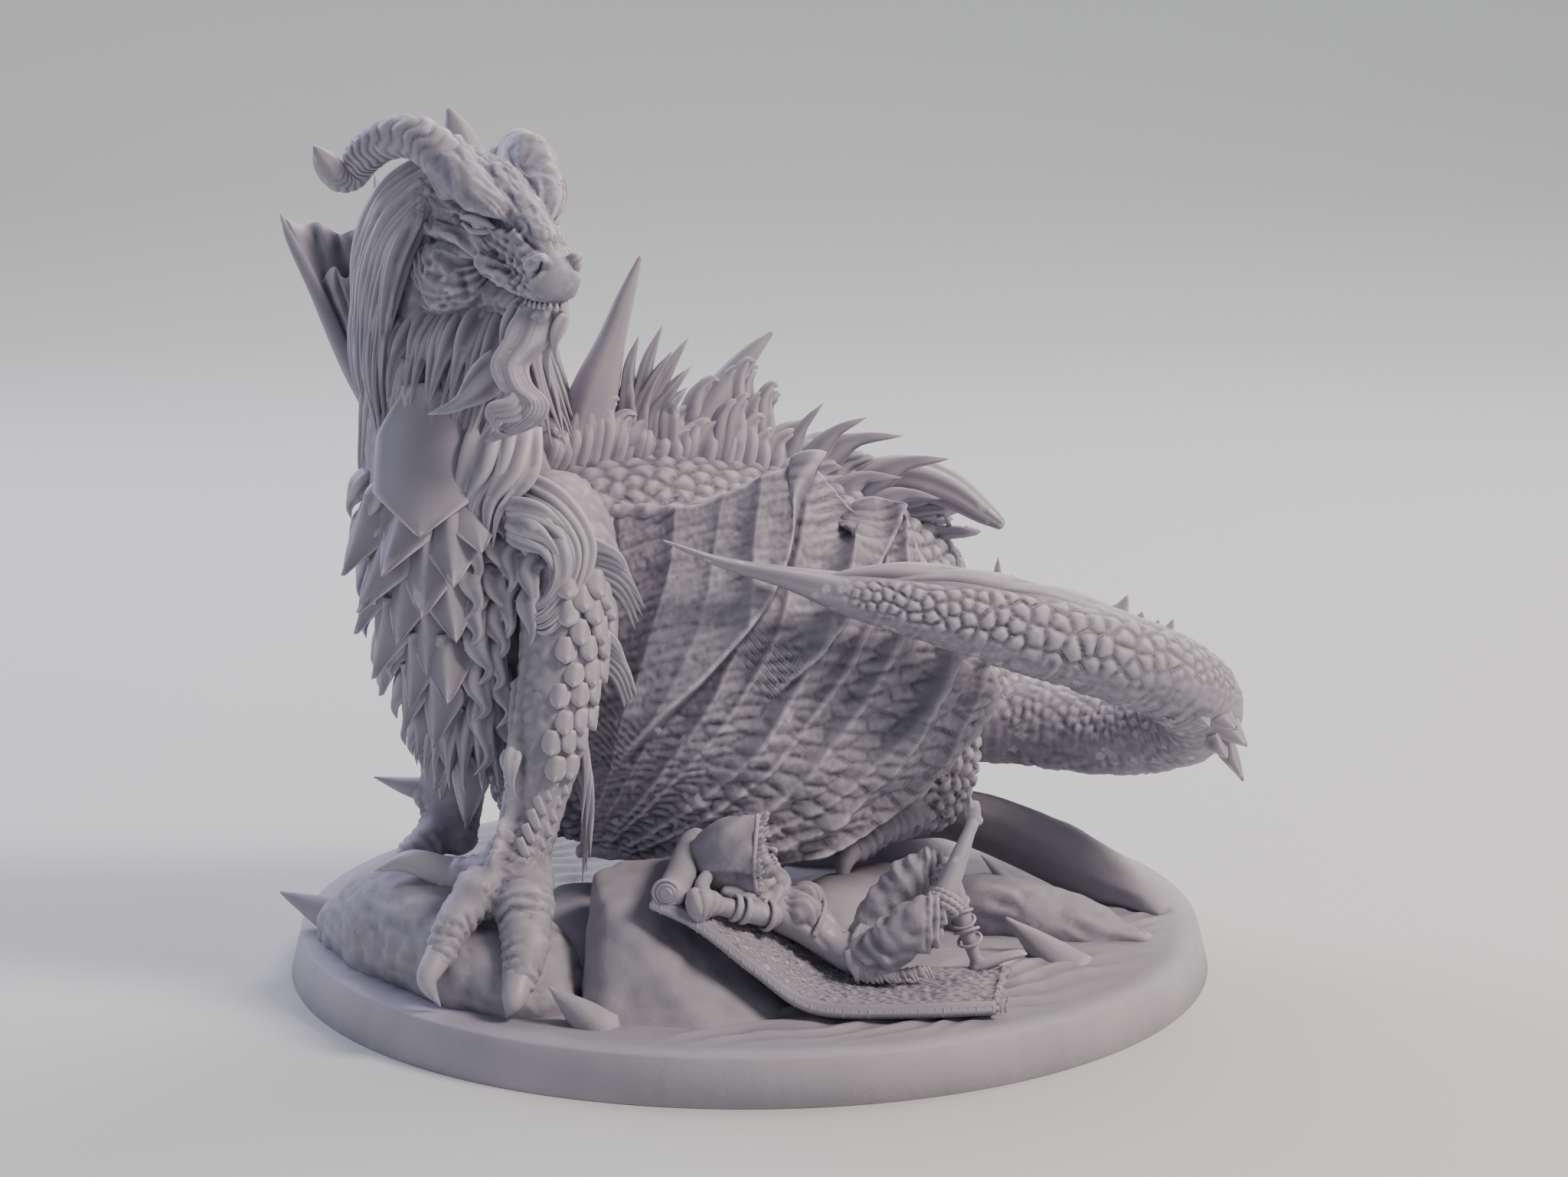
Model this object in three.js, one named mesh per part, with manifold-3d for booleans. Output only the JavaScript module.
// A cast resin sculpture: a ram-horned sand dragon at rest on a round scenic base, its tail curled forward,
// with a hooded traveller lying on a mat that leans on a rock by its forefoot.
// Units are millimetres, +Z is up, +X runs to the tail, and -Y is the side on which the traveller lies.
// The origin is the centre of the base's flat underside.
import * as THREE from "three";
import { ConvexGeometry } from "three/addons/geometries/ConvexGeometry.js";
import { mergeVertices } from "three/addons/utils/BufferGeometryUtils.js";
import Module from "manifold-3d";

const wasm = await Module();
wasm.setup();

// Driving dimensions.
const baseRadius = 37.5; // at the table
const rimRadius = 36.6; // at the top edge
const groundZ = 3.6; // thickness of the base, and the level of the sand
const seam = 0.3; // clearance kept between the separately cast pieces
const resinGrey = 0x9f9ba4;

const vec = (x, y, z) => new THREE.Vector3(x, y, z);
const upZ = vec(0, 0, 1);

// ---------------------------------------------------------------- solids

// A closed geometry as a manifold solid.
function solid(geometry) {
  const bare = geometry.index ? geometry.toNonIndexed() : geometry.clone();
  bare.deleteAttribute("normal");
  bare.deleteAttribute("uv");
  const merged = mergeVertices(bare, 1e-4);
  return new wasm.Manifold(
    new wasm.Mesh({
      numProp: 3,
      vertProperties: merged.attributes.position.array,
      triVerts: new Uint32Array(merged.index.array),
    }),
  );
}

const join = (solids) => solids.reduce((whole, next) => whole.add(next));

function geometryOf(manifold) {
  const mesh = manifold.getMesh();
  const position = new Float32Array(mesh.numVert * 3);
  for (let i = 0; i < mesh.numVert; i++) {
    position.set(mesh.vertProperties.subarray(i * mesh.numProp, i * mesh.numProp + 3), i * 3);
  }
  const geometry = new THREE.BufferGeometry();
  geometry.setAttribute("position", new THREE.BufferAttribute(position, 3));
  geometry.setIndex(new THREE.BufferAttribute(new Uint32Array(mesh.triVerts), 1));
  geometry.computeVertexNormals();
  return geometry;
}

// A sphere's grid wrapped round a smooth curve: a bent, tapered, closed form.
// Each station is [x, y, z, half width, half height]; a missing half height makes the section round.
// heightAxis says which way the half height points.
function limb(stations, { sides = 6, rings = 0, heightAxis = upZ, grow = 0 } = {}) {
  const ringCount = rings || stations.length + 1;
  const curve = new THREE.CatmullRomCurve3(stations.map(([x, y, z]) => vec(x, y, z)), false, "centripetal");
  const last = stations.length - 1;
  const sizeAt = (t) => {
    const k = Math.min(last - 1, Math.floor(t * last));
    const sizes = [stations[k], stations[k + 1]].map((s) => [s[3], s[4] ?? s[3]]);
    const share = THREE.MathUtils.smoothstep(t * last - k, 0, 1);
    return [0, 1].map((axis) => THREE.MathUtils.lerp(sizes[0][axis], sizes[1][axis], share) + grow);
  };
  const geometry = new THREE.SphereGeometry(1, sides, ringCount + 1);
  const position = geometry.attributes.position;
  for (let row = 0; row <= ringCount + 1; row++) {
    const t = THREE.MathUtils.clamp((row - 1) / (ringCount - 1), 0, 1);
    const centre = curve.getPoint(t);
    const tangent = curve.getTangent(t);
    const side = tangent.clone().cross(heightAxis).normalize();
    const height = side.clone().cross(tangent);
    const [halfWidth, halfHeight] = sizeAt(t);
    const pole = row === 0 ? -1 : row > ringCount ? 1 : 0;
    centre.addScaledVector(tangent, pole * 0.5 * Math.min(halfWidth, halfHeight));
    for (let column = 0; column <= sides; column++) {
      const angle = (2 * Math.PI * (column % sides)) / sides;
      const reach = pole ? 0 : 1;
      const point = centre
        .clone()
        .addScaledVector(side, reach * halfWidth * Math.cos(angle))
        .addScaledVector(height, reach * halfHeight * Math.sin(angle));
      position.setXYZ(row * (sides + 1) + column, point.x, point.y, point.z);
    }
  }
  return outward(solid(geometry), geometry);
}

// The grid's rows can run either way round the curve, so a form that came out inside out is turned.
function outward(made, geometry) {
  if (made.volume() > 0) return made;
  const index = geometry.index.array;
  for (let i = 0; i < index.length; i += 3) [index[i + 1], index[i + 2]] = [index[i + 2], index[i + 1]];
  return solid(geometry);
}

// An ellipsoid, its long axes turned by Euler angles in degrees.
function blob([x, y, z], [a, b, c], turn = [0, 0, 0], detail = 1) {
  const geometry = new THREE.IcosahedronGeometry(1, detail);
  geometry.scale(a, b, c);
  geometry.applyMatrix4(
    new THREE.Matrix4().makeRotationFromEuler(new THREE.Euler(...turn.map(THREE.MathUtils.degToRad))),
  );
  geometry.translate(x, y, z);
  return solid(geometry);
}

const hull = (points) => solid(new ConvexGeometry(points.map(([x, y, z]) => vec(x, y, z))));

// A pointed plate or lock: flat, widest near its root, and drawn to a point.
function blade(root, middle, tip, width, thickness, heightAxis, sides = 4) {
  return limb(
    [
      [...root, width * 0.7, thickness],
      [...middle, width, thickness],
      [...tip, 0.15, 0.15],
    ],
    { sides, rings: 3, heightAxis },
  );
}

// A smooth surface through a grid of points: u runs along each row and v runs from the first row to the last.
function surfaceThrough(grid) {
  const through = (points) => new THREE.CatmullRomCurve3(points, false, "centripetal");
  const rows = grid.map((row) => through(row.map(([x, y, z]) => vec(x, y, z))));
  return (u, v) => through(rows.map((row) => row.getPoint(u))).getPoint(v);
}

// A closed panel between two surfaces.
function panel(front, back, columns, rows) {
  const geometry = new THREE.BoxGeometry(1, 1, 1, columns, rows, 1);
  const position = geometry.attributes.position;
  for (let i = 0; i < position.count; i++) {
    const u = THREE.MathUtils.clamp(position.getX(i) + 0.5, 0, 1);
    const v = THREE.MathUtils.clamp(position.getY(i) + 0.5, 0, 1);
    const side = position.getZ(i) > 0 ? front : back;
    const point = side(u, v);
    position.setXYZ(i, point.x, point.y, point.z);
  }
  return outward(solid(geometry), geometry);
}

// ---------------------------------------------------------------- the scenic base

function disc(grow) {
  const profile = [
    [0, 0],
    [baseRadius, 0],
    [rimRadius, groundZ + grow],
    [0, groundZ + grow],
  ];
  const geometry = new THREE.LatheGeometry(profile.map(([r, z]) => new THREE.Vector2(r, z)), 48);
  geometry.rotateX(Math.PI / 2);
  return outward(solid(geometry), geometry);
}

// Everything that lies on the sand. Grown by the seam, the same forms cut clearance out of their neighbours.
function scenery(grow) {
  const rock = (stations, sides = 6) => limb(stations, { sides, grow });
  const leftRock = rock([
    [-32.5, -7.5, 4.2, 2.4, 3],
    [-28.5, -12, 5.6, 4.6, 5],
    [-23, -16.5, 6, 6.2, 5],
    [-17.5, -22, 4.6, 6, 4.2],
    [-15.5, -26, 3.6, 3.4, 2.6],
  ]);
  const blockRock = hull([
    [-12.4, -16, 12],
    [-9.6, -13, 12.3],
    [-4.6, -12.5, 13],
    [-10.8, -22.5, 11],
    [-8.8, -24, 10.5],
    [-12.6, -28, 3],
    [-10.6, -30.3, 3],
    [-2, -31, 3],
    [4, -28, 3],
    [6, -16, 3],
    [1, -12, 3],
    [-12, -11, 3],
  ]);
  const lowRock = [
    rock([[-14.5, -20, 3.2, 3.6, 3.4], [-14, -14, 3.6, 5, 4.2], [-13, -7, 3.6, 5, 4.6]]),
    rock([[-30, -2, 3, 3, 3], [-26, 1, 3.4, 4.6, 4.3], [-20, 4, 3.2, 4.5, 4]]),
    rock([[2, -12, 3.2, 3.4, 3.2], [6.5, -8, 3.8, 4.8, 4.6], [11, -3, 3.6, 5, 4.8]]),
    rock([[2, 17, 3.2, 4, 2.6], [9, 18, 3.4, 5, 3], [16, 15, 3.2, 4, 2.4]]),
  ];
  const longRock = rock([
    [15, -2.5, 4.2, 2, 2.6],
    [20, -4.5, 4.6, 3.4, 3.2],
    [26, -6.6, 4.2, 3.2, 2.4],
    [31.6, -8.4, 3.5, 1, 0.8],
  ]);
  const rib = rock([
    [11.5, 8, 9, 1.2, 1.8],
    [17, 7, 9.8, 1.4, 2.2],
    [23, 5.2, 8.2, 1.6, 2.6],
    [29.5, 2.4, 5.6, 1.8, 2.4],
    [34, 0, 3.6, 1.4, 0.8],
  ]);
  const dunes = [
    blob([22, -16, groundZ - 0.6], [10, 8, 1 + grow], [0, 0, 20]),
    blob([24, 14, groundZ - 0.4], [9, 8, 1.6 + grow], [0, 0, -30]),
    blob([-8, 24, groundZ - 0.4], [15, 7, 1.8 + grow]),
    blob([-24, 14, groundZ - 0.4], [7, 9, 1.6 + grow], [0, 0, 20]),
  ];
  const fangs = [
    { root: [-11.2, -29, 3.4], tip: [-14.6, -28.6, 6.4], width: 1.5 },
    { root: [25, -15, 3.2], tip: [20.2, -12.8, 6.9], width: 1.9 },
    { root: [22.5, -4, 5.6], tip: [18.8, -3, 9.2], width: 1 },
    { root: [-31.5, -6.5, 4], tip: [-38.1, -4, 6.4], width: 2 },
  ];
  const fangSolids = fangs.map(({ root, tip, width }) =>
    limb([[...root, width], [...root.map((a, k) => a + 0.45 * (tip[k] - a)), 0.7 * width], [...tip, 0.12]], {
      sides: 6,
      rings: 3,
      grow,
    }),
  );
  return [leftRock, blockRock, ...lowRock, longRock, rib, ...dunes, ...fangSolids];
}

// The rocks reach below the sand, so the base is trimmed flat at the table.
function scenicBase(grow = 0) {
  const depth = 20;
  const table = new THREE.BoxGeometry(6 * baseRadius, 6 * baseRadius, depth);
  table.translate(0, 0, -depth / 2);
  return join([disc(grow), ...scenery(grow)]).subtract(solid(table));
}

// ---------------------------------------------------------------- the dragon

// The barrel of the body, from the breast to the root of the tail, with the belly under it.
function trunk() {
  const barrel = limb(
    [
      [-21, -1, 29, 8, 11],
      [-10, 3, 27, 11, 14.4],
      [2, 7, 25.6, 12, 14],
      [9.5, 9.5, 24, 10.5, 12.4],
      [14.4, 10.5, 21.4, 7.4, 8.6],
      [21, 9.2, 18.2, 4.6, 4.6],
    ],
    { sides: 10, rings: 8 },
  );
  const belly = limb([[-17, -2, 17, 6, 6], [-4, 3, 15.5, 9, 8], [8, 8, 14.5, 9, 7.5], [15, 10, 15.5, 5, 5]], {
    sides: 9,
  });
  return [barrel, belly];
}

// The upright breast and neck. Along an upright limb the half width lies in X and the half height in Y.
function neck() {
  const column = limb(
    [
      [-24, -1, 60, 5.2, 5.6],
      [-24.6, -1.6, 52, 7, 8],
      [-24.1, -3, 45, 8, 9],
      [-22.7, -3.4, 38, 8.8, 9.6],
      [-21.4, -4, 31, 8.6, 9.6],
      [-21, -5, 24, 6.4, 8.4],
      [-21.3, -6.2, 18.4, 3, 4.6],
    ],
    { sides: 10, heightAxis: vec(0, 1, 0) },
  );
  const mane = limb(
    [
      [-23.6, 1, 63.4, 3.8, 4.4],
      [-26.4, 0.6, 58, 5.2, 6.6],
      [-26.8, 0, 52, 5.2, 8],
      [-26.6, -1, 45, 5.6, 8.6],
      [-26, -1, 38, 5.4, 7.6],
    ],
    { sides: 8, heightAxis: vec(0, 1, 0) },
  );
  return [column, mane];
}

// Locks hang round the neck in a ring, from the one by the cheek to the one behind the far ear.
function maneLocks() {
  const locks = [];
  const count = 7;
  for (let i = 0; i < count; i++) {
    const angle = THREE.MathUtils.degToRad(-112 - (i * 190) / (count - 1));
    const at = (radius, z) => [-25 + radius * Math.cos(angle), -1.6 + 1.05 * radius * Math.sin(angle), z];
    const tipZ = 46.5 + 1.2 * ((i * 2) % 3);
    const outwards = vec(Math.cos(angle), Math.sin(angle), 0);
    locks.push(blade(at(5.4, 58), at(7.6, 52), at(7.3, tipZ), 2, 0.8, outwards));
  }
  return locks;
}

// Rows of pointed plates step down the breast to the keel, one on the middle line and one at each side.
function breastPlates() {
  const plates = [];
  const rows = 5;
  for (let row = 0; row < rows; row++) {
    const share = row / (rows - 1);
    const z = THREE.MathUtils.lerp(42, 23, share);
    const reach = THREE.MathUtils.lerp(8.6, 4.6, share);
    const width = THREE.MathUtils.lerp(3.6, 1.9, share);
    for (const turn of [-52, 0, 52]) {
      const angle = THREE.MathUtils.degToRad(-96 + turn);
      const depth = THREE.MathUtils.lerp(9.4, 8, share);
      const at = (out, height) => [
        -22 + (reach + out) * Math.cos(angle),
        -3.6 + (depth + out) * Math.sin(angle),
        height,
      ];
      const facing = vec(Math.cos(angle), Math.sin(angle), 0);
      plates.push(blade(at(-0.8, z + 3), at(0.3, z), at(0.9, z - 4.4), width, 0.7, facing));
    }
  }
  return plates;
}

function head() {
  const skull = limb(
    [
      [-25, 0, 60.5, 4.2, 4.4],
      [-22.4, -4.6, 61, 4.5, 4.5],
      [-19, -9.4, 60, 3.4, 3.3],
      [-16.4, -12.8, 58.4, 2.3, 2.5],
      [-14.6, -15, 57.3, 2.1, 1.9],
    ],
    { sides: 9 },
  );
  const jaw = limb(
    [
      [-24.4, -3.6, 56.6, 3.2, 3.6],
      [-20, -8.6, 56, 2.6, 2.3],
      [-15.6, -13.4, 55.5, 1.6, 1.2],
    ],
  );
  const brows = [
    limb([[-23.6, -5.4, 65, 1.8, 1.7], [-21, -8, 63.9, 1.8, 1.5], [-18.8, -10.2, 62, 1, 0.8]]),
    limb([[-18.6, -0.6, 64.8, 2, 2], [-16.6, -4.4, 64, 1.9, 1.7], [-16, -7.6, 61.8, 1.2, 1]]),
  ];
  const cheek = blob([-24.8, -4.4, 57], [2.4, 3, 3.6], [0, 0, 0], 1);
  const beard = limb(
    [
      [-15.9, -13.2, 55, 1.7, 1.5],
      [-17.3, -13.4, 51.6, 1.7, 1.5],
      [-16.9, -13.8, 49.2, 1.4, 1.3],
      [-18.2, -13.8, 47.6, 1.2, 1.1],
      [-19.7, -13, 44.6, 0.15, 0.15],
    ],
    { sides: 6, heightAxis: vec(0, 1, 0) },
  );
  return [skull, jaw, ...brows, cheek, beard];
}

// Ram's horns: each rises from the brow, turns over and flares out at its tip.
function horns() {
  const near = limb(
    [
      [-22.6, -5, 64.5, 2, 2.1],
      [-24.6, -4, 66.2, 1.8, 1.8],
      [-27.4, -2.4, 66.8, 1.6, 1.6],
      [-30, -1.2, 65.9, 1.5, 1.5],
      [-31.2, -1.2, 64.3, 1.25, 1.2],
      [-32.3, -2, 64.3, 0.9, 0.9],
      [-33.5, -3, 65.8, 0.15, 0.15],
    ],
    { sides: 7, rings: 11, heightAxis: vec(0, 1, 0) },
  );
  const far = limb(
    [
      [-18, -2.4, 63.8, 2, 2.1],
      [-18.2, 1, 65.2, 1.9, 1.8],
      [-18.3, 4.4, 65, 1.7, 1.6],
      [-18.2, 7.4, 63, 1.5, 1.5],
      [-17.8, 8.6, 60.8, 1.2, 1.2],
      [-17.2, 9.8, 60, 0.8, 0.8],
      [-16.6, 11, 60.6, 0.15, 0.15],
    ],
    { sides: 7, rings: 8, heightAxis: vec(1, 0, 0) },
  );
  return [near, far];
}

// The near wing is furled over the flank, and its folds spread from the low front corner.
const nearWing = surfaceThrough([
  [[-13, -9.4, 11.4], [-4, -11, 11.4], [5, -9.6, 11.8], [13.4, -5, 15]],
  [[-12.6, -11, 19], [-4, -13, 19.4], [7, -10.6, 20], [19.4, -2.4, 22.6]],
  [[-12, -10.2, 29], [-4, -11.8, 29.6], [5.4, -9, 31], [15, -3.4, 30.4]],
  [[-10.5, -6, 38], [-4, -6.8, 38.4], [4.6, -4, 40.6], [11.6, -2.2, 37]],
]);

function wingCovering(surface, axisY) {
  const behind = (u, v) => {
    const point = surface(u, v);
    return point.clone().lerp(vec(0.85 * point.x, axisY, 24), 0.5);
  };
  return panel(surface, behind, 6, 5);
}

function foldAlong(surface, [fromU, fromV], [toU, toV], radius) {
  const stations = [0, 0.33, 0.66, 1].map((t) => {
    const point = surface(THREE.MathUtils.lerp(fromU, toU, t), THREE.MathUtils.lerp(fromV, toV, t));
    return [point.x, point.y, point.z, radius * (1 - 0.35 * t)];
  });
  return limb(stations, { sides: 4, rings: 4 });
}

function nearWingSolids() {
  const folds = [
    [[0.05, 0.02], [0.98, 0.06]],
    [[0.04, 0.05], [0.97, 0.34]],
    [[0.03, 0.12], [0.97, 0.8]],
    [[0.02, 0.2], [0.67, 0.99]],
  ];
  const ridges = folds.map(([from, to], i) => foldAlong(nearWing, from, to, 0.75 + 0.1 * (i % 2)));
  return [wingCovering(nearWing, 7), ...ridges];
}

// The far wing is furled along the other flank, and its finger tips stand up behind the neck.
const farFlank = surfaceThrough([
  [[-16, 10, 13], [-4, 16.4, 11.6], [6, 20, 12], [14, 19, 15]],
  [[-17, 11, 26], [-4, 18.6, 26], [6, 20.8, 25], [17, 18.4, 23]],
  [[-18, 8, 39], [-6, 13, 41], [4, 15, 39.6], [12, 15, 36]],
]);

function farWingSolids() {
  const fingerTips = [[-39, 13.4, 59.6], [-31, 11.6, 62.6], [-24.2, 7.6, 68]];
  const wrist = [-25, 9.4, 42];
  const bows = [-1.2, -0.5, 0]; // how far each finger bends towards -X at its middle
  const fingers = fingerTips.map((tip, i) => {
    const middle = tip.map((a, k) => THREE.MathUtils.lerp(wrist[k], a, 0.5));
    middle[0] += bows[i];
    return limb([[...wrist, 1.6], [...middle, 1.1, 1.1], [...tip, 0.15, 0.15]], { sides: 6, rings: 4 });
  });
  const webs = [0, 1].map((i) => {
    const [left, right] = [fingerTips[i], fingerTips[i + 1]];
    const corner = (across, up, out) => {
      const rim = left.map((a, k) => THREE.MathUtils.lerp(a, right[k], across));
      return rim.map((a, k) => THREE.MathUtils.lerp(wrist[k], a, up) + (k === 1 ? out : 0));
    };
    const halfThickness = 0.5 + 0.2 * i;
    const points = [-halfThickness, halfThickness].flatMap((out) => [
      corner(0, 0.04, out),
      corner(0, 0.93, out),
      corner(0.5, 0.8, out),
      corner(1.05, 0.87, out),
    ]);
    return hull(points);
  });
  const crest = limb(
    [
      [-21.6, 5.6, 58, 2.4],
      [-23, 7.2, 64.4, 1.7],
      [-24.2, 8, 68.4, 0.4],
    ],
    { sides: 6, rings: 4 },
  );
  const arm = limb(
    [
      [-12, 10, 36, 4, 4],
      [-19, 10, 40, 3.2, 3.2],
      [-25, 9.4, 42, 2.6, 2.6],
      [-30, 7.4, 44, 2, 2],
    ],
  );
  return [wingCovering(farFlank, 8), arm, crest, ...fingers, ...webs];
}

// A toe is a fleshy limb that ends in a curved claw.
function toe(stations, clawTip, clawRadius) {
  const [x, y, z] = stations[stations.length - 1];
  const middle = [x, y, z].map((a, k) => (a + clawTip[k]) / 2 + (k === 2 ? 0.5 : 0));
  const claw = limb([[x, y, z, clawRadius], [...middle, clawRadius * 0.75], [...clawTip, 0.12]], {
    sides: 5,
    rings: 3,
  });
  return [limb(stations), claw];
}

function nearForeleg() {
  const shoulder = blob([-15, -8, 34.4], [5.6, 6, 7.4]);
  const upright = { sides: 8, heightAxis: vec(0, 1, 0) };
  const arm = limb(
    [
      [-13.8, -11, 33, 4, 4.2],
      [-14.3, -14, 28.5, 3.5, 3.4],
      [-15.2, -16.4, 22, 3.1, 2.9],
      [-16.4, -18, 16.2, 2.2, 2.1],
      [-18, -19.4, 12.8, 2.7, 2.2],
    ],
    upright,
  );
  return [
    shoulder,
    arm,
    ...toe(
      [
        [-18, -19.4, 12.6, 2.4],
        [-20.4, -21.8, 11.2, 1.9],
        [-22.2, -24, 9.4, 1.5],
        [-23.2, -25.2, 7.6, 1],
      ],
      [-23, -26, 4.8],
      0.9,
    ),
    ...toe(
      [
        [-17, -19.4, 12, 2.4],
        [-16.8, -22.4, 10.4, 2.1],
        [-16.7, -25.2, 8, 1.6],
        [-17.1, -26.8, 6, 1.1],
      ],
      [-17.7, -27.6, 4.2],
      0.9,
    ),
    ...toe(
      [
        [-18, -18.6, 12.6, 1.8],
        [-21.4, -17.4, 12, 1.4],
        [-24.2, -16.6, 11.4, 1.1],
      ],
      [-28.2, -16, 12.4], 1,
    ),
  ];
}

function farForeleg() {
  const leg = limb(
    [
      [-22, 2, 27, 5.4, 5],
      [-24, 3, 19, 3.6, 3.4],
      [-24.6, 2.4, 12, 2.7, 2.5],
      [-25, 1, 9.4, 2.8, 2],
    ],
    { sides: 7, heightAxis: vec(0, 1, 0) },
  );
  return [
    leg,
    ...toe([[-25, 1.4, 10, 2], [-27, -1, 9.2, 1.5], [-28.4, -2.6, 8, 1]], [-29.6, -3.8, 6.4], 0.8),
    ...toe([[-24.6, 2.4, 13, 1.6], [-27, 3, 12.6, 1.2]], [-30.4, 3.6, 12.8], 0.9),
  ];
}

function hindLegs() {
  const nearHaunch = limb(
    [
      [12, 5, 20, 6, 7],
      [15.6, 4, 15.6, 3.4, 3.8],
      [14.6, 1.4, 12, 2.6, 2.4],
    ],
    { sides: 7 },
  );
  const farHaunch = limb([[10, 14, 20, 5, 6], [14, 18, 14, 4, 4], [12, 19.6, 9, 2.8, 2.6]], { sides: 7 });
  return [
    nearHaunch,
    farHaunch,
    ...toe([[14.6, 1.6, 12, 2.4], [10.6, -1.6, 11.4, 2], [8.2, -3.8, 10, 1.4]], [7.2, -4.8, 7.2], 1),
    ...toe([[14, 1.8, 12, 2.2], [7, -1, 11.4, 1.8], [3, -3, 10, 1.4]], [1.8, -4, 8], 0.9),
    ...toe([[12, 19.4, 9, 2.4], [9, 21.4, 7.4, 1.8], [6.4, 22.8, 6.4, 1.2]], [4.4, 23.4, 5], 0.8),
  ];
}

// The tail leaves the hip, bends round past the rim of the base and comes back across the flank to a whip.
function tail() {
  return limb(
    [
      [15, 10.6, 19.2, 6, 6],
      [23, 8.4, 17.9, 4.6, 4.3],
      [30, 5.4, 17.3, 3.9, 3.7],
      [35, 2.2, 18.7, 3.6, 3.6],
      [36.6, -1.4, 21.2, 3.6, 3.6],
      [33.4, -5, 24.4, 3.7, 3.7],
      [27, -7.6, 27.2, 3.7, 3.7],
      [20, -10, 29.6, 3.3, 3.3],
      [13.4, -12, 31.4, 2.6, 2.6],
      [8, -13.2, 32.7, 1.7, 1.8],
      [3, -14, 34.2, 0.9, 0.9],
      [-2, -14, 35.4, 0.45, 0.45],
      [-6.4, -14, 37.1, 0.12, 0.12],
    ],
    { sides: 8, rings: 20 },
  );
}

// Bony spikes of the spine, the large hooked one over the hip, and the fins of the tail.
function spikes() {
  const spike = (stations, sides = 5) => limb(stations, { sides, rings: 4, heightAxis: vec(0, 1, 0) });
  return [
    spike([[-12.4, 3, 44, 1.9], [-11, 3.4, 50, 1.1], [-8.8, 4, 57, 0.15]]),
    spike([[-3, 6.6, 43, 1.8], [-1.4, 7.2, 46.8, 1], [1.8, 8, 50.3, 0.15]]),
    spike([[7.6, 9.4, 36.4, 1.7], [12.6, 9, 38.4, 1.7], [17.4, 7.6, 37, 1.3], [20.8, 6, 34.6, 0.3]], 7),
    spike([[12, 10, 33, 2], [15.6, 9, 33.4, 1], [17, 8.6, 34.6, 0.2]]),
    spike([[37, -3, 19.2, 1.4], [38.6, -3.6, 17.4, 0.7], [39.4, -3.4, 15.2, 0.12]]),
    spike([[29.4, -5.4, 28.6, 1.4], [30.2, -5.6, 30, 0.9], [30, -5.4, 31.2, 0.12]]),
    spike([[32.8, -4.2, 26.6, 1.2], [34, -4, 27.9, 0.7], [34.1, -4, 29, 0.12]]),
    spike([[18.6, -9, 31.6, 1.2], [19.4, -8.8, 33.4, 0.6], [19.2, -8.6, 34.8, 0.12]]),
  ];
}

// Tufts of long stiff hair stand along the spine between the spikes.
function spineTufts() {
  const spinePoints = [vec(-15, 2, 40.8), vec(-8, 5, 41), vec(3, 8, 39), vec(13, 10, 34.5)];
  const along = new THREE.CatmullRomCurve3(spinePoints);
  const tufts = [];
  const count = 8;
  for (let i = 0; i < count; i++) {
    const root = along.getPoint(i / (count - 1));
    const height = 4.6 + 2.2 * Math.sin(2.4 * i + 0.6);
    const lean = 1.4 + 1.6 * (i / count);
    const at = (share, sink) => [root.x + lean * share, root.y + 0.3 * share, root.z + height * share - sink];
    tufts.push(blade(at(0, 1.4), at(0.5, 0), at(1, 0), 1.7, 0.9, vec(0, 1, 0)));
  }
  return tufts;
}

// Hair hangs from the back of the forearm and the shoulder.
function elbowTufts() {
  const tufts = [];
  const count = 6;
  for (let i = 0; i < count; i++) {
    const z = THREE.MathUtils.lerp(35, 17, i / (count - 1));
    const x = THREE.MathUtils.lerp(-9.5, -13, i / (count - 1));
    const y = THREE.MathUtils.lerp(-10.5, -14, i / (count - 1));
    const [middle, tip] = [[x + 0.9, y - 0.6, z - 2], [x + 1.9, y - 0.6, z - 5.2]];
    tufts.push(blade([x - 1.4, y, z], middle, tip, 1.2, 1, vec(0, 1, 0)));
  }
  return tufts;
}

function dragon() {
  const whole = join([
    ...trunk(),
    ...neck(),
    ...maneLocks(),
    ...breastPlates(),
    ...head(),
    ...horns(),
    ...nearWingSolids(),
    ...farWingSolids(),
    ...nearForeleg(),
    ...farForeleg(),
    ...hindLegs(),
    tail(),
    ...spikes(),
    ...spineTufts(),
    ...elbowTufts(),
  ]);
  return largestOf(whole.subtract(scenicBase(seam)));
}

// ---------------------------------------------------------------- the mat and the traveller

// Along the mat, from the head to the feet: the middle, and the half vector from the middle to the far edge.
const matMiddles = [
  [-5.9, -19.4, 13],
  [-2.6, -20.4, 11.2],
  [1.4, -22, 8],
  [5.6, -23.6, 5.4],
  [12, -24, 4.9],
  [20, -23.4, 4.9],
];
const matAcross = [
  [1.4, 5, 1.2],
  [1.2, 5.2, 0.8],
  [1, 5.4, 0.4],
  [0.9, 5.4, 0.2],
  [0.8, 5.2, 0],
  [0.7, 4.8, 0],
];
const matThickness = 0.9;

const matEdge = (side) => matMiddles.map((middle, i) => middle.map((a, k) => a + side * matAcross[i][k]));
const matTop = surfaceThrough([matEdge(-1), matEdge(1)]);

// Grown by the seam it cuts its own bed into the rock, and headroom clears everything above it.
function mat(grow = 0, headroom = 0) {
  const raised = (lift) => (u, v) => matTop(u, v).addScaledVector(upZ, lift);
  return panel(raised(grow + headroom), raised(-matThickness - grow), 10, 2);
}

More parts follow.
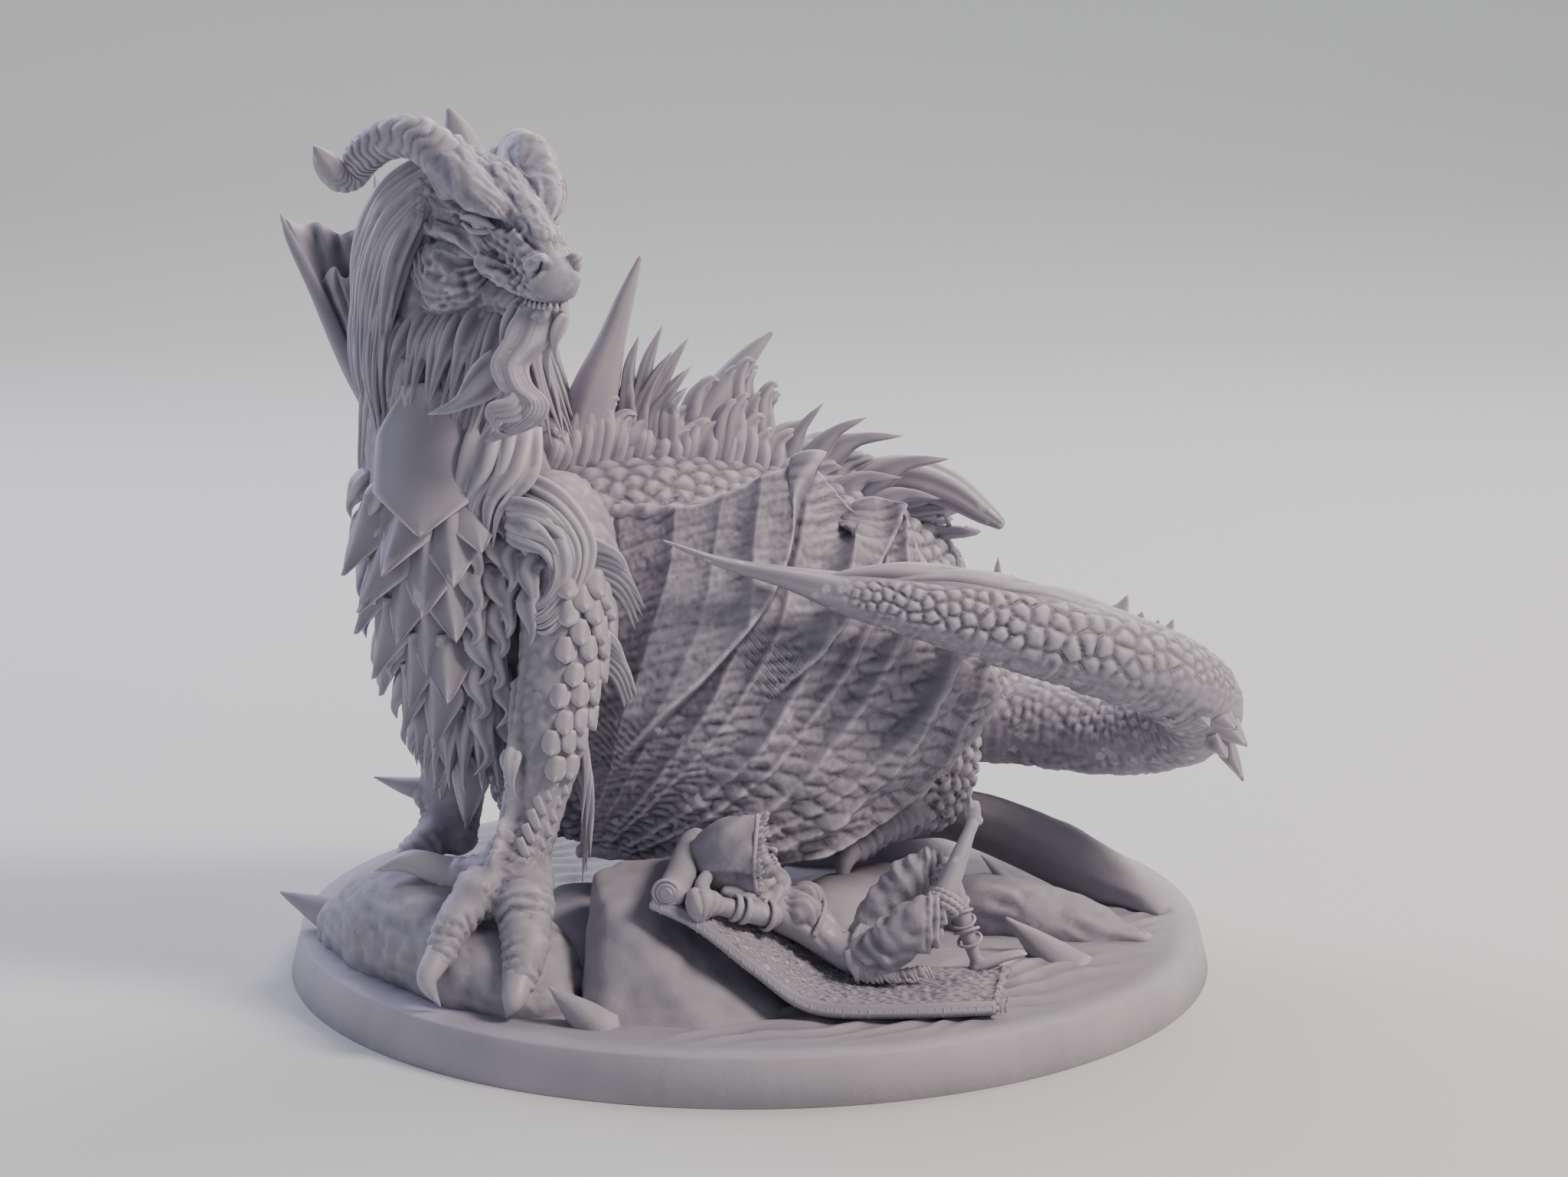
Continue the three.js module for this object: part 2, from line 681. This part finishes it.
function traveller() {
  const part = (stations, sides = 5) => limb(stations, { sides });
  const upright = (stations, sides = 5) => limb(stations, { sides, heightAxis: vec(0, 1, 0) });
  return join([
    part(
      [
        [-3.4, -17.6, 12.8, 1.8, 1.7],
        [-1.4, -18.6, 13.4, 2.6, 2.8],
        [0.8, -19, 13.2, 2, 2.9],
        [1.6, -19.4, 12, 1.4, 2.4],
      ],
      7,
    ),
    part([[-5.9, -23.4, 12.6, 1.4, 1.3], [-4.8, -19.6, 13.6, 1.5, 1.4], [-4.2, -15.8, 14.6, 1.4, 1.3]]),
    part([[1.9, -21.6, 9.9, 1.1], [-0.6, -22.8, 10.6, 1], [-3.2, -23.4, 11.4, 1.2]]),
    part([[-3.2, -23.4, 11.6, 1.1], [-3.4, -21.6, 12.8, 0.9], [-2.4, -19.8, 13.4, 0.8]]),
    part([[2.4, -16.6, 10.8, 1.1], [0, -14.8, 12.2, 1], [-2, -14.2, 13.4, 1.1]]),
    part([[-2, -14.2, 13.6, 1], [-3, -15.8, 14, 0.8], [-2.6, -17.4, 13.6, 0.8]]),
    part(
      [
        [1, -19.2, 10.4, 2.9, 1.6],
        [3.9, -19.4, 9.3, 2.9, 2],
        [6.6, -20.3, 7.2, 1.9, 1.5],
        [9, -21.2, 6.5, 2.5, 1.7],
      ],
      7,
    ),
    part([[9, -22.4, 6.4, 1.8], [12, -23.2, 8.2, 2], [14.2, -23.3, 10.8, 1.6]]),
    upright([[14.4, -23.1, 11, 1.1], [15.9, -20.8, 13.6, 0.8], [16.7, -19.4, 15.8, 0.6]]),
    upright([[16.7, -19.4, 15.8, 0.65], [17, -18.9, 17, 0.75], [17.1, -18.5, 18.1, 0.5]]),
    part([[9.4, -19.8, 6.5, 1.8], [11.6, -18.8, 10, 2], [13.8, -18.2, 12.6, 1.5]]),
    upright([[14, -18.2, 12.6, 1.3], [16.1, -18.8, 9, 0.9], [17.6, -19.4, 5.8, 0.7]]),
    part([[17.5, -19.5, 5.5, 0.7], [19.6, -18.9, 5.6, 0.7], [21.6, -18.2, 5.8, 0.5]]),
    part([[7.4, -21.4, 6.3, 2.6, 1.2], [9.8, -22.6, 5.9, 3, 0.9], [13, -22, 5.6, 2.4, 0.4]]),
  ]);
}

// A cut can leave crumbs where a form only grazes its neighbour; the piece is the largest body.
function largestOf(made) {
  return made.decompose().reduce((best, next) => (next.volume() > best.volume() ? next : best));
}

const resin = new THREE.MeshStandardMaterial({ name: "castResin", color: resinGrey, roughness: 0.6 });

const sculpture = new THREE.Group();

function addPiece(name, made) {
  const mesh = new THREE.Mesh(geometryOf(made), resin);
  mesh.name = name;
  sculpture.add(mesh);
}

const matHeadroom = 8;
addPiece("base", largestOf(scenicBase().subtract(mat(seam, matHeadroom))));
addPiece("dragon", dragon());
addPiece("mat", largestOf(mat()));
addPiece("traveller", largestOf(traveller().subtract(mat(seam)).subtract(scenicBase(seam))));

export default sculpture;
